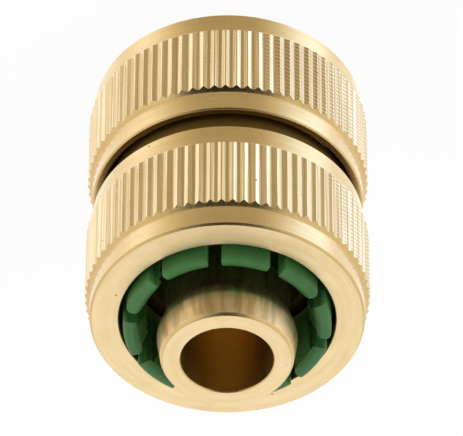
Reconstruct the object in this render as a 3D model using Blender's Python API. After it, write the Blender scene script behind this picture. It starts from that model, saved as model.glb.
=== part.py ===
"""Double-ended hose mender, standing on the end of its lower spigot.

A turned brass body has a hose spigot at each end. Round each spigot lies a plastic collet with ten
spring fingers, and a knurled brass nut, screwed on the body, closes the fingers on the hose. Both
ends are the same, so each end piece is modelled once, in a frame whose Z runs outwards from the
middle of the body, and is placed twice. Metres, +Z up, origin at the middle of the lower end face.
"""

import math

import bmesh
import bpy

MM = 0.001

# Across the axis, from the bore outwards
BORE_DIAMETER = 9.2 * MM
BORE_CHAMFER = 0.12 * MM
SPIGOT_WALL = 1.5 * MM  # at the neck
BARB_RISE = 0.9 * MM  # over the neck
BARB_TAPER = 0.38 * MM  # by which the barb narrows towards the tip
TIP_CHAMFER = 0.32 * MM
ROOT_RISE = 2.2 * MM  # of the cone that carries the spigot, over the neck
HOSE_SPACE = 1.15 * MM  # between the barb and the teeth of the collet
TOOTH_DEPTH = 0.3 * MM
LEAD_IN_RISE = 0.68 * MM  # of the slope that guides the hose in, over the teeth
FINGER_THICKNESS = 1.52 * MM  # at the tip
COLLET_CLEARANCE = 0.4 * MM  # all round, inside the nut
TAPER_RISE = 1.0 * MM
RING_WALL = 2.0 * MM  # of the uncut ring that joins the fingers
THREAD_CLEARANCE = 0.3 * MM  # the two threads are plain cylinders
RELIEF_DEPTH = 0.35 * MM
COLLAR_RISE = 0.95 * MM  # over the thread
COLLAR_CLEARANCE = 0.5 * MM
SKIRT_WALL = 0.8 * MM
KNURL_RISE = 0.55 * MM  # over the smooth bands, at a chamfer of 45 degrees
KNURL_DEPTH = 0.24 * MM

# Along the axis, from the middle of the body outwards
NUT_GAP = 2.4 * MM  # between the two nuts
COLLAR_LENGTH = 4.0 * MM
COLLAR_EDGE = 0.15 * MM
RELIEF_WIDTH = 0.8 * MM  # turned groove between the collar and the thread
THREAD_LENGTH = 5.15 * MM
THREAD_CHAMFER = 0.6 * MM
ROOT_LENGTH = 4.4 * MM
THREAD_PITCH = 1.5 * MM
TIGHTENING_TURNS = 0.5  # from rest until the collet meets the body
SEAT_CLEARANCE = 0.3 * MM
RING_LENGTH = 1.5 * MM
TAPER_LENGTH = 4.4 * MM
LIP_LENGTH = 0.8 * MM  # straight stretch inside the opening of the nut
OPENING_EDGE = 0.12 * MM
NUT_EDGE = 0.25 * MM
MOUTH_BAND = 2.4 * MM  # smooth band at the hose end
SKIRT_BAND = 2.33 * MM  # smooth band at the thread end
COLLET_PROUD = 1.4 * MM  # past the face of the nut
TIP_EDGE = 0.5 * MM
TIP_DISH = 0.4 * MM  # by which the end of a finger slopes back at its inner side
LEAD_IN_LENGTH = 1.5 * MM
TOOTH_PITCH = 1.25 * MM
TOOTH_STEP = 0.25 * MM  # length of the steep side of a tooth
SPIGOT_PROUD = 5.45 * MM  # past the face of the nut
BARB_LENGTH = 2.9 * MM  # from the end face to the edge that holds the hose
BARB_UNDERCUT = 0.3 * MM
LEAD_LENGTH = 0.55 * MM

# Round the axis
KNURL_TEETH = 80
FINGERS = 10
TEETH = 3
SLOT_WIDTH = 1.35 * MM
FINGER_CORNER = 0.5 * MM

# Degrees by which each piece is turned, as it was screwed together
UPPER_NUT_TURN = 2.5
LOWER_NUT_TURN = 3.4
UPPER_COLLET_TURN = 7.4
LOWER_COLLET_TURN = 3.0

BODY_SEGMENTS = 72
COLLET_SEGMENTS = 70
CORNER_SEGMENTS = 3

BRASS_COLOUR = (0.78, 0.58, 0.29)
PLASTIC_COLOUR = (0.10, 0.34, 0.16)

BORE_RADIUS = BORE_DIAMETER / 2
NECK_RADIUS = BORE_RADIUS + SPIGOT_WALL
BARB_RADIUS = NECK_RADIUS + BARB_RISE
TOOTH_TIP_RADIUS = BARB_RADIUS + HOSE_SPACE
TOOTH_ROOT_RADIUS = TOOTH_TIP_RADIUS + TOOTH_DEPTH
TIP_INNER_RADIUS = TOOTH_TIP_RADIUS + LEAD_IN_RISE
TIP_OUTER_RADIUS = TIP_INNER_RADIUS + FINGER_THICKNESS
OPENING_RADIUS = TIP_OUTER_RADIUS + COLLET_CLEARANCE
NUT_BORE_RADIUS = OPENING_RADIUS + TAPER_RISE
RING_OUTER_RADIUS = NUT_BORE_RADIUS - COLLET_CLEARANCE
RING_INNER_RADIUS = RING_OUTER_RADIUS - RING_WALL
THREAD_RADIUS = NUT_BORE_RADIUS - THREAD_CLEARANCE
COLLAR_RADIUS = THREAD_RADIUS + COLLAR_RISE
SKIRT_RADIUS = COLLAR_RADIUS + COLLAR_CLEARANCE
BAND_RADIUS = SKIRT_RADIUS + SKIRT_WALL
CREST_RADIUS = BAND_RADIUS + KNURL_RISE

TIGHTENING_TRAVEL = TIGHTENING_TURNS * THREAD_PITCH
NUT_REAR = NUT_GAP / 2
COLLAR_END = COLLAR_LENGTH / 2
SKIRT_FLOOR = COLLAR_END + TIGHTENING_TRAVEL + SEAT_CLEARANCE
THREAD_END = COLLAR_END + THREAD_LENGTH
COLLET_SEAT = THREAD_END + TIGHTENING_TRAVEL + SEAT_CLEARANCE
SLOT_FLOOR = COLLET_SEAT + RING_LENGTH
TAPER_END = SLOT_FLOOR + TAPER_LENGTH
NUT_FACE = TAPER_END + LIP_LENGTH
COLLET_TIP = NUT_FACE + COLLET_PROUD
SPIGOT_END = NUT_FACE + SPIGOT_PROUD
BARB_EDGE = SPIGOT_END - BARB_LENGTH


def clear_scene():
    for old in list(bpy.data.objects):
        bpy.data.objects.remove(old, do_unlink=True)


def make_material(name, colour, metallic, roughness):
    material = bpy.data.materials.new(name)
    material.use_nodes = True
    shader = material.node_tree.nodes["Principled BSDF"]
    shader.inputs["Base Color"].default_value = (*colour, 1.0)
    shader.inputs["Metallic"].default_value = metallic
    shader.inputs["Roughness"].default_value = roughness
    material.diffuse_color = (*colour, 1.0)
    return material


def add_object(name, mesh_maker, parent, turn=0.0):
    """An object from a bmesh, turned about its parent's Z by so many degrees."""
    mesh = bpy.data.meshes.new(name)
    mesh_maker.to_mesh(mesh)
    mesh_maker.free()
    made = bpy.data.objects.new(name, mesh)
    bpy.context.scene.collection.objects.link(made)
    made.parent = parent
    made.rotation_euler[2] = math.radians(turn)
    return made


def finish(piece, material):
    piece.data.materials.append(material)
    piece.data.shade_smooth()
    piece.data.set_sharp_from_angle(angle=math.radians(25))


def turned(profile, segments):
    """A closed profile of (radius, height) points, spun round Z into one closed ring of material."""
    ring = bmesh.new()
    corners = [ring.verts.new((radius, 0.0, height)) for radius, height in profile]
    edges = [ring.edges.new((a, b)) for a, b in zip(corners, corners[1:] + corners[:1])]
    bmesh.ops.spin(
        ring,
        geom=corners + edges,
        cent=(0.0, 0.0, 0.0),
        axis=(0.0, 0.0, 1.0),
        angle=math.tau,
        steps=segments,
        use_merge=True,
    )
    bmesh.ops.recalc_face_normals(ring, faces=ring.faces)
    return ring


def add_solid(sections, into):
    """A closed solid through flat outlines. Each section is its (x, y) points and its height, lowest first."""
    rings = []
    for outline, height in sections:
        rings.append([into.verts.new((x, y, height)) for x, y in outline])
    into.faces.new(rings[0])
    into.faces.new(rings[-1])
    for below, above in zip(rings, rings[1:]):
        for corner in range(len(below)):
            into.faces.new((below[corner - 1], below[corner], above[corner], above[corner - 1]))
    bmesh.ops.recalc_face_normals(into, faces=into.faces)


def shape_with(piece, tool, operation):
    """A live Boolean on the piece. The tool keeps its place on the piece and isn't part of the model."""
    tool.parent = piece
    tool.rotation_euler[2] = 0.0
    tool.hide_render = True
    tool.display_type = "WIRE"
    change = piece.modifiers.new(tool.name, "BOOLEAN")
    change.operation = operation
    change.solver = "EXACT"
    change.object = tool


def half_body():
    """Outline of one half of the body, from the bore at the tip to the collar at the middle."""
    relief = THREAD_RADIUS - RELIEF_DEPTH
    lead = BARB_RADIUS - BARB_TAPER
    return [
        (BORE_RADIUS, SPIGOT_END - BORE_CHAMFER),
        (BORE_RADIUS + BORE_CHAMFER, SPIGOT_END),
        (lead - TIP_CHAMFER, SPIGOT_END),
        (lead, SPIGOT_END - LEAD_LENGTH),
        (BARB_RADIUS, BARB_EDGE),
        (NECK_RADIUS, BARB_EDGE - BARB_UNDERCUT),
        (NECK_RADIUS, THREAD_END + ROOT_LENGTH),
        (NECK_RADIUS + ROOT_RISE, THREAD_END),
        (THREAD_RADIUS - THREAD_CHAMFER, THREAD_END),
        (THREAD_RADIUS, THREAD_END - THREAD_CHAMFER),
        (THREAD_RADIUS, COLLAR_END + RELIEF_WIDTH),
        (relief, COLLAR_END + RELIEF_WIDTH - RELIEF_DEPTH),
        (relief, COLLAR_END),
        (COLLAR_RADIUS - COLLAR_EDGE, COLLAR_END),
        (COLLAR_RADIUS, COLLAR_END - COLLAR_EDGE),
    ]


def make_body(frame, material):
    upper = half_body()
    lower = [(radius, -height) for radius, height in reversed(upper)]
    body = add_object("spigot_body", turned(upper + lower, BODY_SEGMENTS), frame)
    finish(body, material)


def nut_blank():
    """Outline of the turned nut before it is knurled, hose end first."""
    return [
        (OPENING_RADIUS, NUT_FACE - OPENING_EDGE),
        (OPENING_RADIUS + OPENING_EDGE, NUT_FACE),
        (BAND_RADIUS - NUT_EDGE, NUT_FACE),
        (BAND_RADIUS, NUT_FACE - NUT_EDGE),
        (BAND_RADIUS, NUT_FACE - MOUTH_BAND),
        (CREST_RADIUS, NUT_FACE - MOUTH_BAND - KNURL_RISE),
        (CREST_RADIUS, NUT_REAR + SKIRT_BAND + KNURL_RISE),
        (BAND_RADIUS, NUT_REAR + SKIRT_BAND),
        (BAND_RADIUS, NUT_REAR + NUT_EDGE),
        (BAND_RADIUS - NUT_EDGE, NUT_REAR),
        (SKIRT_RADIUS, NUT_REAR),
        (SKIRT_RADIUS, SKIRT_FLOOR),
        (NUT_BORE_RADIUS, SKIRT_FLOOR),
        (NUT_BORE_RADIUS, SLOT_FLOOR),
        (OPENING_RADIUS, TAPER_END),
    ]


def knurl_star():
    """Outline of the straight knurl: a crest and a groove for each tooth, all the way round."""
    points = []
    for half_tooth in range(2 * KNURL_TEETH):
        angle = math.pi * half_tooth / KNURL_TEETH
        radius = CREST_RADIUS - KNURL_DEPTH * (half_tooth % 2)
        points.append((radius * math.cos(angle), radius * math.sin(angle)))
    return points


def make_nut(name, frame, turn, material):
    nut = add_object(name, turned(nut_blank(), KNURL_TEETH), frame, turn)
    star = bmesh.new()
    add_solid([(knurl_star(), NUT_REAR - NUT_GAP), (knurl_star(), NUT_FACE + NUT_GAP)], star)
    shape_with(nut, add_object(name + "_knurl", star, frame), "INTERSECT")
    finish(nut, material)


def collet_blank():
    """Outline of the collet before it is slotted, with the grip teeth on its inner side."""
    first_tooth = COLLET_TIP - TIP_DISH - LEAD_IN_LENGTH
    outside = [
        (RING_OUTER_RADIUS, COLLET_SEAT),
        (RING_OUTER_RADIUS, SLOT_FLOOR),
        (TIP_OUTER_RADIUS, TAPER_END),
        (TIP_OUTER_RADIUS, COLLET_TIP - TIP_EDGE),
        (TIP_OUTER_RADIUS - TIP_EDGE, COLLET_TIP),
    ]
    inside = [
        (TIP_INNER_RADIUS + TIP_EDGE, COLLET_TIP),
        (TIP_INNER_RADIUS, COLLET_TIP - TIP_DISH),
    ]
    for tooth in range(TEETH):
        height = first_tooth - tooth * TOOTH_PITCH
        inside.append((TOOTH_TIP_RADIUS, height))
        inside.append((TOOTH_ROOT_RADIUS, height - TOOTH_STEP))
    inside += [(RING_INNER_RADIUS, SLOT_FLOOR), (RING_INNER_RADIUS, COLLET_SEAT)]
    return outside + inside


def slot_outline(outer_radius):
    """Outline of one slot along +X. It flares at both ends, which rounds the four long edges of the fingers."""
    half = SLOT_WIDTH / 2
    wide = half + FINGER_CORNER
    corner = []
    for step in range(CORNER_SEGMENTS + 1):
        angle = math.pi / 2 * step / CORNER_SEGMENTS
        corner.append((FINGER_CORNER * (1 - math.sin(angle)), wide - FINGER_CORNER * math.cos(angle)))
    side = [(BAND_RADIUS, wide)]
    side += [(outer_radius - inset, y) for inset, y in reversed(corner)]
    side += [(TIP_INNER_RADIUS + inset, y) for inset, y in corner]
    side.append((BARB_RADIUS, wide))
    return side + [(x, -y) for x, y in reversed(side)]


def make_collet(name, frame, turn, material):
    collet = add_object(name, turned(collet_blank(), COLLET_SEGMENTS), frame, turn)
    slots = bmesh.new()
    outer_side = [
        (RING_OUTER_RADIUS, SLOT_FLOOR),
        (TIP_OUTER_RADIUS, TAPER_END),
        (TIP_OUTER_RADIUS, COLLET_TIP + COLLET_PROUD),
    ]
    for finger in range(FINGERS):
        angle = math.tau * (finger + 0.5) / FINGERS
        across = math.cos(angle)
        along = math.sin(angle)
        sections = []
        for outer_radius, height in outer_side:
            outline = slot_outline(outer_radius)
            sections.append(([(x * across - y * along, x * along + y * across) for x, y in outline], height))
        add_solid(sections, slots)
    shape_with(collet, add_object(name + "_slots", slots, frame), "DIFFERENCE")
    finish(collet, material)


def make_end(side, flip, nut_turn, collet_turn, brass, plastic):
    """The nut and the collet of one end, on an empty at the middle of the body that faces outwards."""
    frame = bpy.data.objects.new(side + "_end", None)
    bpy.context.scene.collection.objects.link(frame)
    frame.location = (0.0, 0.0, SPIGOT_END)
    frame.rotation_euler[0] = flip
    make_nut(side + "_nut", frame, nut_turn, brass)
    make_collet(side + "_collet", frame, collet_turn, plastic)
    return frame


def main():
    clear_scene()
    brass = make_material("brass", BRASS_COLOUR, 1.0, 0.3)
    plastic = make_material("green_plastic", PLASTIC_COLOUR, 0.0, 0.45)
    upper = make_end("upper", 0.0, UPPER_NUT_TURN, UPPER_COLLET_TURN, brass, plastic)
    make_end("lower", math.pi, LOWER_NUT_TURN, LOWER_COLLET_TURN, brass, plastic)
    make_body(upper, brass)


main()
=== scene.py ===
"""Hose mender of turned brass with two green plastic collets, standing on one spigot in a pale studio.

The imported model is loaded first. Each piece is then modelled again with the fine forms that a lathe,
a knurling wheel and a mould leave: screw threads, rounded edges, fillets and rounded finger corners.
"""

import math

import bmesh
import bpy
from bpy.props import FloatProperty, FloatVectorProperty, IntProperty, PointerProperty
from mathutils import Matrix, Vector


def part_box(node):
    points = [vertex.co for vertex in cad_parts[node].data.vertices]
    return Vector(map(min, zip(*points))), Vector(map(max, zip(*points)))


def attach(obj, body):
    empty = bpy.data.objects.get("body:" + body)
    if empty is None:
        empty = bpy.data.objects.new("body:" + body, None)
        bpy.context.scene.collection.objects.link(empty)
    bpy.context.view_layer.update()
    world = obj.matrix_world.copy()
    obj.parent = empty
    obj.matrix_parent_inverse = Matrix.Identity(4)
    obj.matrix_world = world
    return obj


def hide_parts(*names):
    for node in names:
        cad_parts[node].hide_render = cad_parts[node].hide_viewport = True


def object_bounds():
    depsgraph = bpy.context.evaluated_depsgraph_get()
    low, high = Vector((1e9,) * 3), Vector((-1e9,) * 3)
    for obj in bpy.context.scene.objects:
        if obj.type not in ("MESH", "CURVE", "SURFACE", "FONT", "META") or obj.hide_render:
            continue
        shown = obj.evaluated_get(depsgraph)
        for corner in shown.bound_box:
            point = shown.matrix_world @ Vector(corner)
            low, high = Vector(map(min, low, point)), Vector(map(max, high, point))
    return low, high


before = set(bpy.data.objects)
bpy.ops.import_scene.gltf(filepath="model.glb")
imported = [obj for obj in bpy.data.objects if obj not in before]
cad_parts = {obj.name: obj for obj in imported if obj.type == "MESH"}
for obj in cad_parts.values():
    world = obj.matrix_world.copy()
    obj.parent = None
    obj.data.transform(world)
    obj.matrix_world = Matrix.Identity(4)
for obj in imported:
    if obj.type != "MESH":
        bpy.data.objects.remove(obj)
CAD_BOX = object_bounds()

bl_info = {
    "name": "Hose Mender",
    "version": (1, 0, 0),
    "blender": (4, 5, 0),
    "location": "3D View > Sidebar > Hose Mender",
    "description": "Builds a knurled brass hose mender with slotted plastic collets",
    "category": "Add Mesh",
}

# Lengths are in millimetres here, and the meshes are in metres
MM = 0.001

# Heights along the axis, measured outwards from the middle of the body
MIDDLE = (CAD_BOX[0].z + CAD_BOX[1].z) / 2 / MM
SPIGOT_END = CAD_BOX[1].z / MM - MIDDLE
NUT_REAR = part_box("upper_nut")[0].z / MM - MIDDLE
NUT_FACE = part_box("upper_nut")[1].z / MM - MIDDLE
COLLET_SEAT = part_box("upper_collet")[0].z / MM - MIDDLE
COLLET_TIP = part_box("upper_collet")[1].z / MM - MIDDLE

# The body
NECK_RADIUS = 6.1
SHOULDER_INSET = 0.6
SHOULDER_HEIGHT = 0.42
BARB_TAPER = 0.37
BARB_FLARE = 0.08
BARB_EDGE = 16.8
UNDERCUT_LENGTH = 1.5
ROOT_END = 11.55
ROOT_RISE = 2.2
THREAD_START = 2.8
THREAD_END = 7.15
THREAD_CHAMFER = 0.85
RELIEF_DEPTH = 0.05
RELIEF_RUN_OUT = 0.3
COLLAR_RADIUS = 12.4
COLLAR_END = 2.0
COLLAR_EDGE = 0.15

# A nut
OPENING_RADIUS = 10.75
MOUTH_BAND = 2.4
SKIRT_BAND = 2.33
FACE_EDGE = 0.23
REAR_EDGE = 0.14
SKIRT_RADIUS = 12.9
SKIRT_EDGE = 0.08
SKIRT_FLOOR = 3.05
NUT_THREAD_CHAMFER = 0.95
NUT_THREAD_END = 7.3
NUT_THREAD_RUN_OUT = 0.8
NUT_BORE = 11.75
TAPER_START = 9.7
TAPER_END = 14.1
KNURL_SPARE = 0.06
GROOVE_ROUNDING = 0.24
CREST_ROUNDING = 0.09

# Chamfer at the ends of the bore and round the opening of a nut
EDGE_BREAK = 0.12

# A collet
RING_OUTER = 11.35
RING_INNER = 9.35
TIP_OUTER = 10.35
TIP_INNER = 8.83
TIP_DISH = 0.4
LEAD_IN_LENGTH = 1.5
TOOTH_TIP = 8.15
TOOTH_ROOT = 8.45
TEETH = 3
TOOTH_PITCH = 1.25
TOOTH_STEP = 0.25
SLOT_INNER_END = 7.0
SLOT_FLARE = 1.4
MOULD_EDGE = 0.09

# Screw thread: the groove in the body and the groove in the nut mesh with play between them
BODY_THREAD_ROOT = 10.75
BODY_THREAD_CREST = 11.55
NUT_THREAD_CREST = 10.95
NUT_THREAD_ROOT = 11.8
FLANK_SLOPE = math.tan(math.radians(30))

# Degrees by which each piece is turned, as it was screwed together
NUT_TURNS = {"upper": 2.5, "lower": 3.4}
COLLET_TURNS = {"upper": 7.4, "lower": 3.0}

LATHE_STEPS = 240
MOULD_STEPS = 200
THREAD_STEPS = 72

# Share of a normal along the axis from which a face counts as flat
FLAT = 0.9

# Shares of a colour that streaks and clouds, and further marks, leave of it. The marks are strips of wear on
# the barb, and on the knurl the tool's dashes with painted dark reflection and painted shade in the grooves
DULLED = (0.86, 0.8, 0.68)
BROWNED = (0.34, 0.26, 0.16)

# Marks of the knurling wheel, painted browner to stand for their dark reflections: pitch of the dashes along
# the axis, and where on the part they are strong
DASH_PITCH = 0.53
DASH_SIDE = (-18.0, 0.0, -14.0)
DASH_FLANKS = 14.0
# Share of painted shade at the bottoms of the knurl's grooves
GROOVE_PAINTED_SHADE = 0.36

# What brass mirrors below it, by the direction round the part in degrees from the camera's side
TENT_GLOW = [
    (-180, (1.2, 1.24, 1.3)),
    (-150, (1.18, 1.2, 1.26)),
    (-112, (1.1, 1.07, 1.02)),
    (-99, (1.0, 0.9, 0.78)),
    (-88, (1.22, 1.16, 1.1)),
    (-73, (1.27, 1.25, 1.18)),
    (-60, (1.02, 0.92, 0.7)),
    (-42, (0.7, 0.58, 0.38)),
    (-25, (0.49, 0.41, 0.26)),
    (25, (0.49, 0.41, 0.26)),
    (42, (0.78, 0.68, 0.48)),
    (60, (1.12, 1.22, 1.35)),
    (72, (1.35, 1.5, 1.8)),
    (88, (1.5, 1.62, 1.95)),
    (99, (0.95, 0.88, 0.8)),
    (112, (1.12, 1.12, 1.12)),
    (130, (1.04, 1.01, 0.98)),
    (150, (1.3, 1.34, 1.42)),
    (180, (1.2, 1.24, 1.3)),
]

# Stage, in metres
FLOOR_HALF = 0.6
TENT_HALF = 5.0
TENT_DEPTH = 1.0
CARD_HALF = 0.44
CARD_STRETCH = 1.2
CARD_DISTANCE = 0.75
CARD_SIDE = (0.0, -0.83, 0.56)
CARD_COLOUR = (0.022, 0.016, 0.006, 1.0)
WHITE = (1.0, 1.0, 1.0, 1.0)
FLOOR_SEEN_WHITE = 0.95
WORLD_LEVEL = 0.5
WORLD_SEEN_MORE = 0.42
LIGHT_AIM = (0.0, 0.0, 0.03)
# Place, width, height and brightness of each panel, and whether brass mirrors it
PANELS = {
    "rear_panel": ((0.05, 0.36, 0.37), 0.34, 0.34, 0.15, True),
    "left_panel": ((0.42, 0.0, 0.3), 0.25, 0.4, 2.4, False),
    "right_panel": ((-0.3, -0.26, 0.42), 0.25, 0.4, 3.4, False),
}

# Camera, with its sensor and lens in millimetres and its roll in degrees
SENSOR_WIDTH = 36.0
LENS = 438.69
CAMERA_PLACE = (0.0, -0.40648, 0.42044)
CAMERA_AIM = (-0.00038786, 0.0, 0.02098546)
CAMERA_ROLL = -179.794


class HoseMenderSizes(bpy.types.PropertyGroup):
    """Sizes of the hose mender."""

    bore: FloatProperty(name="Bore", description="Diameter of the bore", default=9.2 * MM, unit="LENGTH")
    barb: FloatProperty(
        name="Barb", description="Diameter of the barb at its edge", default=14.0 * MM, unit="LENGTH"
    )
    band: FloatProperty(
        name="Nut Band", description="Diameter of a nut at its smooth bands", default=27.4 * MM, unit="LENGTH"
    )
    knurl: FloatProperty(
        name="Knurl", description="Diameter of a nut over the crests of its knurl",
        default=28.48 * MM, unit="LENGTH",
    )
    knurl_depth: FloatProperty(
        name="Knurl Depth", description="Depth of the grooves between the crests",
        default=0.31 * MM, unit="LENGTH",
    )
    knurl_teeth: IntProperty(name="Knurl Teeth", description="Crests round a nut", default=80, min=8)
    thread_pitch: FloatProperty(
        name="Thread Pitch", description="Advance of a nut in one turn", default=1.5 * MM, unit="LENGTH"
    )
    fingers: IntProperty(name="Fingers", description="Spring fingers of a collet", default=10, min=3)
    slot_width: FloatProperty(
        name="Slot Width", description="Gap between two fingers", default=1.35 * MM, unit="LENGTH"
    )
    finger_corner: FloatProperty(
        name="Finger Corner", description="Rounding of the long edges of a finger",
        default=0.5 * MM, unit="LENGTH",
    )


class HoseMenderFinish(bpy.types.PropertyGroup):
    """Colours and surface finish of the hose mender and its stage."""

    brass: FloatVectorProperty(
        name="Turned Brass", description="Colour of the turned surfaces",
        default=(0.87, 0.69, 0.4), subtype="COLOR",
    )
    faced_brass: FloatVectorProperty(
        name="Faced Brass", description="Colour of the end faces", default=(0.93, 0.74, 0.43), subtype="COLOR"
    )
    # Knurled Brass is paler than the turned brass: a painted sheen that makes the bright stripes of the knurl
    # whiter.
    knurled_brass: FloatVectorProperty(
        name="Knurled Brass", description="Colour of the knurl, freshly pressed and paler",
        default=(0.97, 0.83, 0.58), subtype="COLOR",
    )
    # Bored Brass is painted shade: the wall of the bore is coloured darker for the shade inside it.
    bored_brass: FloatVectorProperty(
        name="Bored Brass", description="Colour of the wall of the bore",
        default=(0.76, 0.57, 0.2), subtype="COLOR",
    )
    # Inner Brass is painted shade: the threads, the root cones and the inside of the nuts are coloured darker
    # for the shade that falls in them.
    inner_brass: FloatVectorProperty(
        name="Inner Brass", description="Colour of the threads, the root cones and the inside of the nuts",
        default=(0.56, 0.41, 0.19), subtype="COLOR",
    )
    # Collar Brass is painted shade: the collar in the gap between the nuts is coloured dark brown for the
    # shade that falls there.
    collar_brass: FloatVectorProperty(
        name="Collar Brass", description="Colour of the collar in the gap, oily and brown",
        default=(0.3, 0.19, 0.05), subtype="COLOR",
    )
    # Edge Brass is painted shade and painted dark reflection: the chamfers and edges are coloured browner for
    # the dark that they mirror.
    edge_brass: FloatVectorProperty(
        name="Edge Brass", description="Colour of edges, brown with tarnish",
        default=(0.8, 0.58, 0.26), subtype="COLOR",
    )
    tarnish: FloatVectorProperty(
        name="Tarnish", description="Colour of pits in the brass", default=(0.30, 0.17, 0.06), subtype="COLOR"
    )
    plastic: FloatVectorProperty(
        name="Plastic", description="Colour of the collets", default=(0.062, 0.2, 0.054), subtype="COLOR"
    )
    floor: FloatVectorProperty(
        name="Floor", description="Colour of the floor", default=(0.93, 0.93, 0.93), subtype="COLOR"
    )
    brass_roughness: FloatProperty(
        name="Brass Roughness", description="Roughness of the turned surfaces", default=0.2, min=0.0, max=1.0
    )
    plastic_roughness: FloatProperty(
        name="Plastic Roughness", description="Roughness of the collets", default=0.42, min=0.0, max=1.0
    )


def sizes():
    return bpy.context.scene.hose_mender_sizes


def finish():
    return bpy.context.scene.hose_mender_finish


def end_matrix(side):
    """Places a piece drawn outwards along +Z from the middle of the body at the upper or the lower end."""
    turn = 0.0 if side == "upper" else math.pi
    return Matrix.Translation((0.0, 0.0, MIDDLE * MM)) @ Matrix.Rotation(turn, 4, "X")


def rounded(outline, corners, width, segments):
    """Rounds corners of a flat outline."""
    bmesh.ops.bevel(
        outline,
        geom=corners,
        offset=width * MM,
        offset_type="OFFSET",
        segments=segments,
        profile=0.5,
        affect="VERTICES",
        material=-1,
    )


def turned(profile, steps=LATHE_STEPS):
    """A closed profile of (radius, height, rounding), with its corners rounded and spun round Z."""
    ring = bmesh.new()
    corners = [ring.verts.new((radius * MM, 0.0, height * MM)) for radius, height, _ in profile]
    for first, second in zip(corners, corners[1:] + corners[:1]):
        ring.edges.new((first, second))
    for rounding in sorted({corner[2] for corner in profile if corner[2]}):
        alike = [vertex for vertex, corner in zip(corners, profile) if corner[2] == rounding]
        rounded(ring, alike, rounding, 3 if rounding < 0.4 else 8)
    bmesh.ops.spin(
        ring,
        geom=ring.verts[:] + ring.edges[:],
        cent=(0.0, 0.0, 0.0),
        axis=(0.0, 0.0, 1.0),
        angle=math.tau,
        steps=steps,
        use_merge=True,
    )
    bmesh.ops.recalc_face_normals(ring, faces=ring.faces)
    return ring


def turn_round(shape, angle):
    """Turns a shape round the axis of the part."""
    bmesh.ops.rotate(shape, cent=(0.0, 0.0, 0.0), matrix=Matrix.Rotation(angle, 3, "Z"), verts=shape.verts)


def thread_cutter(narrow, wide, half_root, start, end, pitch, phase):
    """A screw-shaped cutter: a groove section swept along a helix from one height to another."""
    cutter = bmesh.new()
    half_mouth = half_root + abs(wide - narrow) * FLANK_SLOPE
    section = [(narrow, -half_root), (wide, -half_mouth), (wide, half_mouth), (narrow, half_root)]
    low = start + phase * pitch
    corners = [cutter.verts.new((radius * MM, 0.0, (low + height) * MM)) for radius, height in section]
    face = cutter.faces.new(corners)
    turns = (end - start) / pitch
    steps = round(turns * THREAD_STEPS)
    bmesh.ops.spin(
        cutter,
        geom=corners + list(face.edges) + [face],
        cent=(0.0, 0.0, 0.0),
        axis=(0.0, 0.0, 1.0),
        dvec=(0.0, 0.0, pitch * MM * turns / steps),
        angle=math.tau * turns,
        steps=steps,
        use_merge=False,
    )
    bmesh.ops.recalc_face_normals(cutter, faces=cutter.faces)
    return cutter


def raised(flat, low, high):
    """The faces of a flat bmesh, made into a closed prism between two heights."""
    bmesh.ops.translate(flat, vec=(0.0, 0.0, low * MM), verts=flat.verts)
    grown = bmesh.ops.extrude_face_region(flat, geom=flat.faces[:], use_keep_orig=True)
    lifted = [item for item in grown["geom"] if isinstance(item, bmesh.types.BMVert)]
    bmesh.ops.translate(flat, vec=(0.0, 0.0, (high - low) * MM), verts=lifted)
    bmesh.ops.recalc_face_normals(flat, faces=flat.faces)
    return flat


def new_object(name, shape):
    """An object in the scene from a bmesh, which is used up."""
    mesh = bpy.data.meshes.new(name)
    shape.to_mesh(mesh)
    shape.free()
    made = bpy.data.objects.new(name, mesh)
    bpy.context.scene.collection.objects.link(made)
    return made


def applied(piece):
    """Makes the modifiers of a piece part of its mesh."""
    bpy.context.view_layer.update()
    shaped = bpy.data.meshes.new_from_object(piece.evaluated_get(bpy.context.evaluated_depsgraph_get()))
    piece.modifiers.clear()
    piece.data = shaped


def carve(piece, cutter, operation):
    """Cuts a piece with a closed bmesh, which is used up."""
    tool = new_object(piece.name + "_tool", cutter)
    cut = piece.modifiers.new("cut", "BOOLEAN")
    cut.operation = operation
    cut.solver = "EXACT"
    cut.object = tool
    applied(piece)
    bpy.data.objects.remove(tool, do_unlink=True)


def finished(piece, place, finishes, choose, body, node, sharp=30):
    """Places a piece, gives each face one of its finishes, shades it and lets it ride on its body."""
    piece.data.transform(place)
    piece.data.materials.clear()
    for name in finishes:
        piece.data.materials.append(shared_material(name))
    for face in piece.data.polygons:
        face.material_index = finishes.index(choose(face.center, face.normal))
    piece.data.shade_smooth()
    piece.data.set_sharp_from_angle(angle=math.radians(sharp))
    even = piece.modifiers.new("even_shading", "WEIGHTED_NORMAL")
    even.keep_sharp = True
    even.weight = 80
    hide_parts(node)
    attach(piece, body)


def add_node(tree, kind, inputs=(), **settings):
    """Adds a shader node. Its inputs are given as (socket, value) or (socket, output of another node)."""
    made = tree.nodes.new(kind)
    made.location = (200.0 * len(tree.nodes), 0.0)
    for name, setting in settings.items():
        setattr(made, name, setting)
    for socket, value in inputs:
        if isinstance(value, bpy.types.NodeSocket):
            tree.links.new(value, made.inputs[socket])
        else:
            made.inputs[socket].default_value = value
    return made


def maths(tree, operation, first, second=0.0, third=0.0):
    """The result of one sum on numbers or outputs."""
    node = add_node(tree, "ShaderNodeMath", [(0, first), (1, second), (2, third)], operation=operation)
    return node.outputs[0]


def spread(tree, value, low, high, to_low=0.0, to_high=1.0):
    """A value spread smoothly from one range to another."""
    inputs = [("Value", value), ("From Min", low), ("From Max", high)]
    inputs += [("To Min", to_low), ("To Max", to_high)]
    return add_node(tree, "ShaderNodeMapRange", inputs, interpolation_type="SMOOTHSTEP").outputs[0]


def mixed(tree, share, first, second):
    """Two colours mixed by a mask."""
    inputs = [(0, share), (6, first), (7, second)]
    return add_node(tree, "ShaderNodeMix", inputs, data_type="RGBA").outputs[2]


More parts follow.
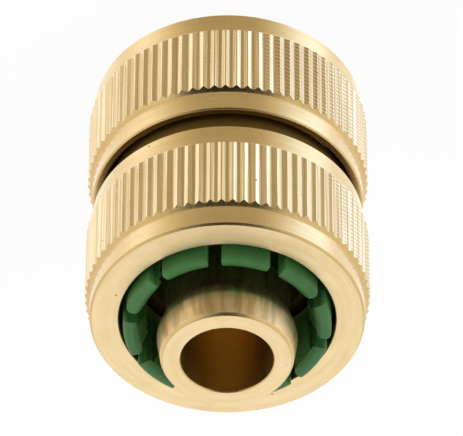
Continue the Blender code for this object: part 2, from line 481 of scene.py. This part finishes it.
def noise(tree, place, scale, detail, roughness=0.5):
    """Cloudy noise in three dimensions."""
    inputs = [("Vector", place), ("Scale", scale), ("Detail", detail), ("Roughness", roughness)]
    return add_node(tree, "ShaderNodeTexNoise", inputs, noise_dimensions="3D").outputs[0]


def toned(colour, shares):
    """A colour with each of its parts changed by a share."""
    return (colour[0] * shares[0], colour[1] * shares[1], colour[2] * shares[2], 1.0)


def new_group(name, inputs, outputs):
    """A shader node group with float inputs of given defaults. Returns it with its two end nodes."""
    group = bpy.data.node_groups.new(name, "ShaderNodeTree")
    for label, default in inputs:
        socket = group.interface.new_socket(name=label, in_out="INPUT", socket_type="NodeSocketFloat")
        socket.default_value = default
    for label in outputs:
        group.interface.new_socket(name=label, in_out="OUTPUT", socket_type="NodeSocketFloat")
    return group, group.nodes.new("NodeGroupInput"), group.nodes.new("NodeGroupOutput")


def use_group(tree, group, inputs=()):
    """Places a node group in a material, with values of its own."""
    return add_node(tree, "ShaderNodeGroup", inputs, node_tree=group)


def lathe_group():
    """Lines that a lathe leaves, rings on a face and circles along a barrel, as fine and coarse lines."""
    if "lathe_lines" in bpy.data.node_groups:
        return bpy.data.node_groups["lathe_lines"]
    group, given, out = new_group("lathe_lines", [("Spacing", 0.0001)], ["Lines", "Streaks"])
    place = add_node(group, "ShaderNodeTexCoord")
    axes = add_node(group, "ShaderNodeSeparateXYZ", [(0, place.outputs["Object"])]).outputs
    facing = add_node(group, "ShaderNodeSeparateXYZ", [(0, place.outputs["Normal"])]).outputs[2]
    squares = [maths(group, "MULTIPLY", axes[way], axes[way]) for way in (0, 1)]
    radius = maths(group, "SQRT", maths(group, "ADD", *squares))
    flat = spread(group, maths(group, "ABSOLUTE", facing), 0.35, 0.85)
    ways = [(0, flat), (2, axes[2]), (3, radius)]
    along = add_node(group, "ShaderNodeMix", ways, data_type="FLOAT").outputs[0]
    count = maths(group, "DIVIDE", along, given.outputs["Spacing"])
    lines = add_node(
        group, "ShaderNodeTexNoise", [("W", count), ("Scale", 1.0), ("Detail", 3.0), ("Roughness", 0.65)],
        noise_dimensions="1D",
    )
    group.links.new(lines.outputs[0], out.inputs["Lines"])
    drawn = add_node(
        group, "ShaderNodeCombineXYZ",
        [(0, maths(group, "MULTIPLY", axes[0], 120.0)), (1, maths(group, "MULTIPLY", axes[1], 120.0)),
         (2, maths(group, "MULTIPLY", count, 0.22))],
    ).outputs[0]
    streaks = noise(group, drawn, 1.0, 4.0, 0.7)
    group.links.new(spread(group, streaks, 0.3, 0.7), out.inputs["Streaks"])
    return group


def wheel_group():
    """Lines that a tool draws along the axis, as fine lines and broad streaks."""
    if "wheel_lines" in bpy.data.node_groups:
        return bpy.data.node_groups["wheel_lines"]
    group, given, out = new_group("wheel_lines", [("Spacing", 0.0001)], ["Lines", "Streaks"])
    place = add_node(group, "ShaderNodeTexCoord").outputs["Object"]
    stretch = [(0, place), (1, (1.0, 1.0, 0.02))]
    drawn_out = add_node(group, "ShaderNodeVectorMath", stretch, operation="MULTIPLY").outputs[0]
    count = maths(group, "DIVIDE", 1.0, given.outputs["Spacing"])
    for label, share, low, high in (("Lines", 1.0, 0.25, 0.75), ("Streaks", 0.3, 0.36, 0.64)):
        drawn = noise(group, drawn_out, maths(group, "MULTIPLY", count, share), 3.0)
        group.links.new(spread(group, drawn, low, high), out.inputs[label])
    return group


def wear_group():
    """Small pits and cloudy tarnish of handled brass."""
    if "pits_and_tarnish" in bpy.data.node_groups:
        return bpy.data.node_groups["pits_and_tarnish"]
    wanted = [("Pit Size", 0.07), ("Pit Share", 0.3)]
    group, given, out = new_group("pits_and_tarnish", wanted, ["Pits", "Clouds"])
    place = add_node(group, "ShaderNodeTexCoord").outputs["Object"]
    cells = add_node(
        group, "ShaderNodeTexVoronoi", [("Vector", place), ("Scale", 650.0), ("Randomness", 1.0)],
        voronoi_dimensions="3D", feature="F1",
    )
    chance = add_node(group, "ShaderNodeSeparateColor", [(0, cells.outputs["Color"])]).outputs
    chosen = maths(group, "LESS_THAN", chance[0], given.outputs["Pit Share"])
    size = maths(group, "MULTIPLY", given.outputs["Pit Size"], maths(group, "ADD", chance[1], 0.4))
    near = spread(group, cells.outputs["Distance"], maths(group, "MULTIPLY", size, 0.5), size, 1.0, 0.0)
    group.links.new(maths(group, "MULTIPLY", near, chosen), out.inputs["Pits"])
    clouds = noise(group, place, 260.0, 5.0, 0.6)
    group.links.new(spread(group, clouds, 0.42, 0.72), out.inputs["Clouds"])
    return group


def new_material(name, roughness):
    """A material of a given roughness. Returns it with its node tree and its shader."""
    material = bpy.data.materials.new(name)
    material.use_nodes = True
    tree = material.node_tree
    shader = tree.nodes["Principled BSDF"]
    shader.inputs["Roughness"].default_value = roughness
    return material, tree, shader


def brass(name, colour, roughness, spacing, line_depth, streak_share, pit_share, lines, marks):
    """Brass with the lines of its tool. Marks, if given, is a mask of further marks, raised and browner; on
    the knurl the browner colour is painted reflection and painted shade.
    """
    material, tree, shader = new_material(name, roughness)
    shader.inputs["Metallic"].default_value = 1.0
    tool = use_group(tree, lines(), [("Spacing", spacing)]).outputs
    wear = use_group(tree, wear_group(), [("Pit Share", pit_share)]).outputs
    duller = toned(colour, DULLED)
    streaked = mixed(tree, maths(tree, "MULTIPLY", tool["Streaks"], streak_share), (*colour, 1.0), duller)
    clouded = mixed(tree, maths(tree, "MULTIPLY", wear["Clouds"], 0.22), streaked, duller)
    height = maths(tree, "MULTIPLY", tool["Lines"], line_depth)
    height = maths(tree, "MULTIPLY_ADD", tool["Streaks"], line_depth * 0.6, height)
    if marks:
        marked = marks(tree)
        # Browner where marked: wear on the barb, painted reflection and painted shade on the knurl
        clouded = mixed(tree, marked, clouded, toned(colour, BROWNED))
        height = maths(tree, "MULTIPLY_ADD", marked, 0.012, height)
    pitted = mixed(tree, wear["Pits"], clouded, (*finish().tarnish, 1.0))
    tree.links.new(pitted, shader.inputs["Base Color"])
    dull = maths(tree, "ADD", maths(tree, "MULTIPLY", wear["Clouds"], 0.06), roughness)
    streaky = maths(tree, "MULTIPLY_ADD", tool["Streaks"], 0.08, dull)
    rough = maths(tree, "MULTIPLY_ADD", wear["Pits"], 0.3, streaky)
    tree.links.new(rough, shader.inputs["Roughness"])
    height = maths(tree, "MULTIPLY_ADD", wear["Pits"], -0.03, height)
    bump = add_node(tree, "ShaderNodeBump", [("Strength", 1.0), ("Distance", MM), ("Height", height)])
    tree.links.new(bump.outputs[0], shader.inputs["Normal"])
    return material


def wheel_marks(tree):
    """Slanting dashes across the flanks of the knurl, strong in some places, painted as dark reflection, and
    painted shade at the bottoms of its grooves.
    """
    place = add_node(tree, "ShaderNodeTexCoord").outputs["Object"]
    axes = add_node(tree, "ShaderNodeSeparateXYZ", [(0, place)]).outputs
    turn = maths(tree, "MULTIPLY", maths(tree, "ARCTAN2", axes[1], axes[0]), float(sizes().knurl_teeth))
    wave = maths(tree, "SINE", maths(tree, "MULTIPLY_ADD", axes[2], math.tau / (DASH_PITCH * MM), turn))
    patches = noise(tree, place, 110.0, 2.0)
    side = add_node(tree, "ShaderNodeVectorMath", [(0, place), (1, DASH_SIDE)], operation="DOT_PRODUCT")
    flanks = maths(tree, "MULTIPLY_ADD", maths(tree, "ABSOLUTE", axes[0]), DASH_FLANKS, side.outputs["Value"])
    # Strength of the painted dashes, set by noise patches and by the side of the part
    painted_dash_strength = spread(tree, maths(tree, "MULTIPLY_ADD", patches, 0.5, flanks), 0.1, 0.3, 0.03, 0.52)
    dashes = maths(tree, "MULTIPLY", spread(tree, wave, 0.0, 0.9), painted_dash_strength)
    across = add_node(tree, "ShaderNodeCombineXYZ", [(0, axes[0]), (1, axes[1])]).outputs[0]
    radius = add_node(tree, "ShaderNodeVectorMath", [(0, across)], operation="LENGTH").outputs["Value"]
    bottom = (sizes().knurl / 2) - sizes().knurl_depth
    # Painted shade: darker towards the bottoms of the grooves
    painted_groove_shade = spread(tree, radius, bottom + 0.06 * MM, bottom + 0.13 * MM, GROOVE_PAINTED_SHADE, 0.0)
    return maths(tree, "MAXIMUM", dashes, painted_groove_shade)


def handling_marks(tree):
    """Shallow uneven strips along the axis, where a hose was pushed over the barb."""
    lines = use_group(tree, wheel_group(), [("Spacing", 0.0011)]).outputs["Lines"]
    return spread(tree, lines, 0.4, 0.9, 0.0, 0.45)


# Each finish of the brass: its colour, what it adds to the roughness, the spacing and depth of the tool's
# lines, the share of streaks, the share of pits, and the functions for the tool's lines and for further marks
BRASS_FINISHES = {
    "turned_brass": ("brass", 0.0, 0.0001, 0.005, 0.5, 0.15, lathe_group, None),
    "faced_brass": ("faced_brass", 0.2, 0.00014, 0.005, 0.4, 0.25, lathe_group, None),
    "barb_brass": ("brass", 0.1, 0.0001, 0.004, 0.6, 0.4, lathe_group, handling_marks),
    "collar_brass": ("collar_brass", 0.35, 0.0001, 0.005, 0.5, 0.1, lathe_group, None),
    "knurled_brass": ("knurled_brass", -0.06, 0.00016, 0.01, 0.9, 0.3, wheel_group, wheel_marks),
    "bored_brass": ("bored_brass", 0.1, 0.0003, 0.004, 0.4, 0.1, wheel_group, None),
    "inner_brass": ("inner_brass", 0.08, 0.00012, 0.004, 0.5, 0.2, lathe_group, None),
    "edge_brass": ("edge_brass", 0.0, 0.00008, 0.004, 1.0, 0.5, lathe_group, None),
}


def collet_plastic():
    """Moulded green plastic: faint flow clouds, a fine grain and small pale scuffs."""
    material, tree, shader = new_material("green_plastic", finish().plastic_roughness)
    shader.inputs["Specular IOR Level"].default_value = 0.35
    colour = finish().plastic
    place = add_node(tree, "ShaderNodeTexCoord").outputs["Object"]
    flow = noise(tree, place, 330.0, 4.0)
    grain = noise(tree, place, 5200.0, 2.0)
    wear = use_group(tree, wear_group(), [("Pit Size", 0.06), ("Pit Share", 0.25)])
    deep = toned(colour, (0.72, 0.8, 0.78))
    pale = toned(colour, (2.1, 1.55, 1.9))
    flowed = mixed(tree, spread(tree, flow, 0.35, 0.65), deep, (*colour, 1.0))
    scuffed = mixed(tree, maths(tree, "MULTIPLY", wear.outputs["Pits"], 0.6), flowed, pale)
    tree.links.new(scuffed, shader.inputs["Base Color"])
    rough = maths(tree, "MULTIPLY_ADD", flow, 0.14, finish().plastic_roughness - 0.07)
    tree.links.new(rough, shader.inputs["Roughness"])
    height = maths(tree, "MULTIPLY", grain, 0.006)
    bump = add_node(tree, "ShaderNodeBump", [("Strength", 1.0), ("Distance", MM), ("Height", height)])
    tree.links.new(bump.outputs[0], shader.inputs["Normal"])
    return material


def shared_material(name):
    """A finish of the pieces, made when one of them first needs it."""
    if name in bpy.data.materials:
        return bpy.data.materials[name]
    if name == "green_plastic":
        return collet_plastic()
    colour, rougher, *surface = BRASS_FINISHES[name]
    return brass(name, getattr(finish(), colour), finish().brass_roughness + rougher, *surface)


class MENDER_OT_turn_body(bpy.types.Operator):
    """Turn the brass body with its bore, spigots, collar and the two screw threads"""

    bl_idname = "mender.turn_body"
    bl_label = "Turn Body"

    def execute(self, context):
        bore = sizes().bore / 2 / MM
        barb = sizes().barb / 2 / MM
        pitch = sizes().thread_pitch / MM
        upper = [
            (bore, SPIGOT_END - EDGE_BREAK, 0.03),
            (bore + EDGE_BREAK, SPIGOT_END, 0.03),
            (barb - SHOULDER_INSET, SPIGOT_END, 0.1),
            (barb - BARB_TAPER, SPIGOT_END - SHOULDER_HEIGHT, 0.2),
            (barb + BARB_FLARE, BARB_EDGE, 0.9),
            (NECK_RADIUS, BARB_EDGE - UNDERCUT_LENGTH, 0.8),
            (NECK_RADIUS, ROOT_END, 1.0),
            (NECK_RADIUS + ROOT_RISE, THREAD_END, 0.2),
            (BODY_THREAD_CREST - THREAD_CHAMFER, THREAD_END, 0.06),
            (BODY_THREAD_CREST, THREAD_END - THREAD_CHAMFER, 0.06),
            (BODY_THREAD_CREST, THREAD_START, 0.0),
            (BODY_THREAD_ROOT - RELIEF_DEPTH, THREAD_START - RELIEF_RUN_OUT, 0.1),
            (BODY_THREAD_ROOT - RELIEF_DEPTH, COLLAR_END, 0.1),
            (COLLAR_RADIUS - COLLAR_EDGE, COLLAR_END, 0.05),
            (COLLAR_RADIUS, COLLAR_END - COLLAR_EDGE, 0.05),
        ]
        lower = [(radius, -height, rounding) for radius, height, rounding in reversed(upper)]
        body = new_object("turned_body", turned(upper + lower))
        for side in ("upper", "lower"):
            groove = thread_cutter(
                narrow=BODY_THREAD_ROOT, wide=BODY_THREAD_CREST + 0.15, half_root=0.15,
                start=COLLAR_END + 0.35, end=THREAD_END + 0.7, pitch=pitch, phase=0.0,
            )
            bmesh.ops.transform(groove, matrix=end_matrix(side), verts=groove.verts)
            bmesh.ops.translate(groove, vec=(0.0, 0.0, -MIDDLE * MM), verts=groove.verts)
            carve(body, groove, "DIFFERENCE")

        def choose(centre, normal):
            """Faced ends, a rougher bore, and painted shade that darkens the bore, the collar, the threads,
            the root cones and the end edges.
            """
            radius = math.hypot(centre.x, centre.y) / MM
            height = abs(centre.z / MM - MIDDLE)
            if radius < bore + 0.02:
                return "bored_brass"
            if height < ROOT_END:
                return "inner_brass" if height > THREAD_START else "collar_brass"
            if height > SPIGOT_END - 0.4:
                return "faced_brass" if abs(normal.z) > FLAT else "edge_brass"
            return "barb_brass"

        place = Matrix.Translation((0.0, 0.0, MIDDLE * MM))
        finishes = ["barb_brass", "faced_brass", "bored_brass", "inner_brass", "edge_brass", "collar_brass"]
        finished(body, place, finishes, choose, "body", "spigot_body")
        return {"FINISHED"}


def knurl_outline():
    """Flat star of the straight knurl, with the crests and the grooves slightly rounded."""
    teeth = sizes().knurl_teeth
    star = bmesh.new()
    bmesh.ops.create_circle(star, cap_ends=True, segments=2 * teeth, radius=sizes().knurl / 2)
    star.verts.ensure_lookup_table()
    step = math.pi / teeth
    grooves = [v for v in star.verts if round(math.atan2(v.co.y, v.co.x) / step) % 2]
    crests = [v for v in star.verts if v not in grooves]
    narrower = 1.0 - sizes().knurl_depth / (sizes().knurl / 2)
    bmesh.ops.scale(star, vec=(narrower, narrower, 1.0), verts=grooves)
    rounded(star, grooves, GROOVE_ROUNDING, 3)
    rounded(star, crests, CREST_ROUNDING, 3)
    return star


class MENDER_OT_turn_nuts(bpy.types.Operator):
    """Turn, thread and knurl the two brass nuts"""

    bl_idname = "mender.turn_nuts"
    bl_label = "Turn Nuts"

    def execute(self, context):
        band = sizes().band / 2 / MM
        blank = sizes().knurl / 2 / MM + KNURL_SPARE
        rise = blank - band
        pitch = sizes().thread_pitch / MM
        profile = [
            (OPENING_RADIUS, NUT_FACE - EDGE_BREAK, 0.04),
            (OPENING_RADIUS + EDGE_BREAK, NUT_FACE, 0.04),
            (band - FACE_EDGE, NUT_FACE, 0.05),
            (band, NUT_FACE - FACE_EDGE, 0.05),
            (band, NUT_FACE - MOUTH_BAND, 0.12),
            (blank, NUT_FACE - MOUTH_BAND - rise, 0.0),
            (blank, NUT_REAR + SKIRT_BAND + rise, 0.0),
            (band, NUT_REAR + SKIRT_BAND, 0.12),
            (band, NUT_REAR + REAR_EDGE, 0.04),
            (band - REAR_EDGE, NUT_REAR, 0.04),
            (SKIRT_RADIUS + SKIRT_EDGE, NUT_REAR, 0.0),
            (SKIRT_RADIUS, NUT_REAR + SKIRT_EDGE, 0.0),
            (SKIRT_RADIUS, SKIRT_FLOOR, 0.12),
            (NUT_THREAD_CREST + NUT_THREAD_CHAMFER, SKIRT_FLOOR, 0.04),
            (NUT_THREAD_CREST, SKIRT_FLOOR + NUT_THREAD_CHAMFER, 0.04),
            (NUT_THREAD_CREST, NUT_THREAD_END, 0.04),
            (NUT_BORE, NUT_THREAD_END + NUT_THREAD_RUN_OUT, 0.1),
            (NUT_BORE, TAPER_START, 0.3),
            (OPENING_RADIUS, TAPER_END, 0.2),
        ]
        for side in ("upper", "lower"):
            nut = new_object(side + "_knurled_nut", turned(profile))
            star = raised(knurl_outline(), NUT_REAR - 1.0, NUT_FACE + 1.0)
            turn_round(star, math.radians(NUT_TURNS[side]))
            carve(nut, star, "INTERSECT")
            groove = thread_cutter(
                narrow=NUT_THREAD_ROOT, wide=NUT_THREAD_CREST - 0.1, half_root=0.175,
                start=COLLAR_END + 0.1, end=NUT_THREAD_END + 0.5, pitch=pitch, phase=0.5,
            )
            carve(nut, groove, "DIFFERENCE")
            place = end_matrix(side)
            face_height = (place @ Vector((0.0, 0.0, NUT_FACE * MM))).z

            def choose(centre, normal):
                """A faced outer face, a marked knurl, and painted shade that darkens the inside and the
                edges.
                """
                radius = math.hypot(centre.x, centre.y) / MM
                if abs(centre.z - face_height) < 0.05 * MM and abs(normal.z) > FLAT:
                    return "faced_brass"
                if radius < band - 0.3:
                    return "inner_brass"
                if abs(normal.z) > 0.3:
                    return "edge_brass"
                return "knurled_brass" if radius > band + 0.1 else "turned_brass"

            finishes = ["turned_brass", "faced_brass", "knurled_brass", "inner_brass", "edge_brass"]
            finished(nut, place, finishes, choose, side + "_ring", side + "_nut", sharp=20)
        return {"FINISHED"}


def slot_cutter(angle):
    """A slot between two fingers. It flares at both ends, which rounds the long edges of the fingers."""
    half = sizes().slot_width / 2 / MM
    corner = sizes().finger_corner / MM
    wide = half + corner * SLOT_FLARE
    outline = [
        (NUT_BORE + 1.5, wide),
        (RING_OUTER, wide),
        (RING_OUTER, half),
        (TIP_INNER, half),
        (TIP_INNER, wide),
        (SLOT_INNER_END, wide),
    ]
    outline += [(x, -y) for x, y in reversed(outline)]
    cutter = bmesh.new()
    corners = [cutter.verts.new((x * MM, y * MM, TAPER_START * MM)) for x, y in outline]
    cutter.faces.new(corners)
    rounded(cutter, [corners[2], corners[3], corners[8], corners[9]], corner, 6)
    rim = cutter.edges[:]
    taper = TAPER_END - TAPER_START
    for rise, inwards in ((taper, RING_OUTER - TIP_OUTER), (COLLET_TIP + 1.0 - TAPER_END, 0.0)):
        grown = bmesh.ops.extrude_edge_only(cutter, edges=rim)["geom"]
        lifted = [item for item in grown if isinstance(item, bmesh.types.BMVert)]
        rim = [item for item in grown if isinstance(item, bmesh.types.BMEdge)]
        bmesh.ops.translate(cutter, vec=(0.0, 0.0, rise * MM), verts=lifted)
        outer = [vertex for vertex in lifted if vertex.co.x > (TIP_INNER + 1.0) * MM]
        bmesh.ops.translate(cutter, vec=(-inwards * MM, 0.0, 0.0), verts=outer)
    bmesh.ops.edgeloop_fill(cutter, edges=rim)
    bmesh.ops.recalc_face_normals(cutter, faces=cutter.faces)
    turn_round(cutter, angle)
    return cutter


class MENDER_OT_mould_collets(bpy.types.Operator):
    """Mould the two green collets with their spring fingers and grip teeth"""

    bl_idname = "mender.mould_collets"
    bl_label = "Mould Collets"

    def execute(self, context):
        fingers = sizes().fingers
        profile = [
            (RING_OUTER, COLLET_SEAT, 0.1),
            (RING_OUTER, TAPER_START, 0.2),
            (TIP_OUTER, TAPER_END, 0.3),
            (TIP_OUTER, COLLET_TIP, 0.55),
            (TIP_INNER + 0.5, COLLET_TIP, 0.2),
            (TIP_INNER, COLLET_TIP - TIP_DISH, 0.08),
        ]
        for tooth in range(TEETH):
            height = COLLET_TIP - TIP_DISH - LEAD_IN_LENGTH - tooth * TOOTH_PITCH
            profile.append((TOOTH_TIP, height, 0.04))
            profile.append((TOOTH_ROOT, height - TOOTH_STEP, 0.04))
        profile += [(RING_INNER, TAPER_START, 0.1), (RING_INNER, COLLET_SEAT, 0.1)]
        for side in ("upper", "lower"):
            collet = new_object(side + "_grip_collet", turned(profile, MOULD_STEPS))
            turn = math.radians(COLLET_TURNS[side])
            for finger in range(fingers):
                carve(collet, slot_cutter(turn + math.tau * (finger + 0.5) / fingers), "DIFFERENCE")
            soften = collet.modifiers.new("soften", "BEVEL")
            soften.width = MOULD_EDGE * MM
            soften.segments = 2
            soften.limit_method = "ANGLE"
            soften.angle_limit = math.radians(50)
            applied(collet)
            finished(
                collet, end_matrix(side), ["green_plastic"], lambda centre, normal: "green_plastic",
                side + "_grip", side + "_collet", sharp=35,
            )
        return {"FINISHED"}


def floor_material():
    """Pale floor that the camera sees as white, with the soft shadow of the part."""
    material, tree, shader = new_material("pale_floor", 0.6)
    shader.inputs["Base Color"].default_value = (*finish().floor, 1.0)
    shader.inputs["Specular IOR Level"].default_value = 0.1
    rays = add_node(tree, "ShaderNodeLightPath").outputs
    white = add_node(tree, "ShaderNodeEmission", [("Color", WHITE), ("Strength", 1.0)])
    share = maths(tree, "MULTIPLY", rays["Is Camera Ray"], FLOOR_SEEN_WHITE)
    seen = add_node(tree, "ShaderNodeMixShader", [(0, share), (1, shader.outputs[0]), (2, white.outputs[0])])
    tree.links.new(seen.outputs[0], tree.nodes["Material Output"].inputs["Surface"])
    return material


def tent_material():
    """What brass mirrors below it: a tent, dark at the camera's side and lit at both flanks."""
    material, tree, shader = new_material("tent", 1.0)
    place = add_node(tree, "ShaderNodeTexCoord").outputs["Object"]
    axes = add_node(tree, "ShaderNodeSeparateXYZ", [(0, place)]).outputs
    angle = maths(tree, "ARCTAN2", axes[0], maths(tree, "MULTIPLY", axes[1], -1.0))
    share = maths(tree, "MULTIPLY_ADD", angle, -1.0 / math.tau, 0.5)
    glow = add_node(tree, "ShaderNodeValToRGB", [(0, share)])
    stops = glow.color_ramp.elements
    for stop, (degrees, colour) in zip(stops, (TENT_GLOW[0], TENT_GLOW[-1])):
        stop.position = degrees / 360 + 0.5
        stop.color = (*colour, 1.0)
    for degrees, colour in TENT_GLOW[1:-1]:
        stops.new(degrees / 360 + 0.5).color = (*colour, 1.0)
    shader.inputs["Base Color"].default_value = (0.0, 0.0, 0.0, 1.0)
    shader.inputs["Specular IOR Level"].default_value = 0.0
    tree.links.new(glow.outputs[0], shader.inputs["Emission Color"])
    shader.inputs["Emission Strength"].default_value = 1.0
    return material


def card_material():
    """Dark card."""
    material, _, shader = new_material("shade_card", 0.9)
    shader.inputs["Base Color"].default_value = CARD_COLOUR
    return material


def square(half):
    """A flat square in the plane of the floor."""
    sheet = bmesh.new()
    bmesh.ops.create_grid(sheet, x_segments=1, y_segments=1, size=half)
    return sheet


def add_panel(name, place, width, height, radiance, mirrored):
    """A soft rectangular light of a given brightness, aimed at the part."""
    data = bpy.data.lights.new(name, "AREA")
    data.shape = "RECTANGLE"
    data.size = width
    data.size_y = height
    data.energy = radiance * math.pi * width * height
    light = bpy.data.objects.new(name, data)
    bpy.context.scene.collection.objects.link(light)
    light.location = place
    light.rotation_euler = (Vector(LIGHT_AIM) - Vector(place)).to_track_quat("-Z", "Y").to_euler()
    light.visible_camera = False
    light.visible_glossy = mirrored


class MENDER_OT_set_stage(bpy.types.Operator):
    """Set the floor, the lights, the world and the camera"""

    bl_idname = "mender.set_stage"
    bl_label = "Set Stage"

    def execute(self, context):
        scene = context.scene
        scene.view_settings.view_transform = "Standard"
        floor = new_object("floor", square(FLOOR_HALF))
        floor.data.materials.append(floor_material())
        floor.visible_glossy = False

        below = square(TENT_HALF)
        bmesh.ops.translate(below, vec=(0.0, 0.0, -TENT_DEPTH), verts=below.verts)
        tent = new_object("tent", below)
        tent.data.materials.append(tent_material())
        tent.visible_camera = False
        tent.visible_diffuse = False
        tent.visible_shadow = False

        card = square(CARD_HALF)
        bmesh.ops.scale(card, vec=(1.0, CARD_STRETCH, 1.0), verts=card.verts)
        toward = Vector(CARD_SIDE)
        facing = toward.to_track_quat("Z", "Y").to_matrix()
        bmesh.ops.rotate(card, cent=(0.0, 0.0, 0.0), matrix=facing, verts=card.verts)
        bmesh.ops.translate(card, vec=toward * CARD_DISTANCE, verts=card.verts)
        shade = new_object("shade_card", card)
        shade.data.materials.append(card_material())
        shade.visible_camera = False
        shade.visible_shadow = False

        world = bpy.data.worlds.new("studio")
        world.use_nodes = True
        scene.world = world
        tree = world.node_tree
        rays = add_node(tree, "ShaderNodeLightPath").outputs
        seen = maths(tree, "MAXIMUM", rays["Is Camera Ray"], rays["Is Glossy Ray"])
        level = maths(tree, "MULTIPLY_ADD", seen, WORLD_SEEN_MORE, WORLD_LEVEL)
        tree.links.new(level, tree.nodes["Background"].inputs["Strength"])
        tree.nodes["Background"].inputs["Color"].default_value = WHITE
        for name, panel in PANELS.items():
            add_panel(name, *panel)

        data = bpy.data.cameras.new("camera")
        data.sensor_width = SENSOR_WIDTH
        data.lens = LENS
        camera = bpy.data.objects.new("camera", data)
        scene.collection.objects.link(camera)
        camera.location = CAMERA_PLACE
        sight = Vector(CAMERA_AIM) - camera.location
        tilt = sight.to_track_quat("-Z", "Y").to_matrix() @ Matrix.Rotation(math.radians(CAMERA_ROLL), 3, "Z")
        camera.rotation_euler = tilt.to_euler()
        scene.camera = camera
        return {"FINISHED"}


class VIEW3D_PT_hose_mender(bpy.types.Panel):
    """Sizes, finish and building steps of the hose mender"""

    bl_label = "Hose Mender"
    bl_space_type = "VIEW_3D"
    bl_region_type = "UI"
    bl_category = "Hose Mender"

    def draw(self, context):
        for settings in (context.scene.hose_mender_sizes, context.scene.hose_mender_finish):
            box = self.layout.box()
            for name in settings.__annotations__:
                box.prop(settings, name)
        for operator in OPERATORS:
            self.layout.operator(operator.bl_idname)


OPERATORS = (MENDER_OT_turn_body, MENDER_OT_turn_nuts, MENDER_OT_mould_collets, MENDER_OT_set_stage)
CLASSES = (HoseMenderSizes, HoseMenderFinish, *OPERATORS, VIEW3D_PT_hose_mender)


def register():
    for kind in CLASSES:
        bpy.utils.register_class(kind)
    bpy.types.Scene.hose_mender_sizes = PointerProperty(type=HoseMenderSizes)
    bpy.types.Scene.hose_mender_finish = PointerProperty(type=HoseMenderFinish)


def unregister():
    del bpy.types.Scene.hose_mender_finish
    del bpy.types.Scene.hose_mender_sizes
    for kind in reversed(CLASSES):
        bpy.utils.unregister_class(kind)


def main():
    register()
    bpy.ops.mender.turn_body()
    bpy.ops.mender.turn_nuts()
    bpy.ops.mender.mould_collets()
    bpy.ops.mender.set_stage()


if __name__ == "__main__":
    main()
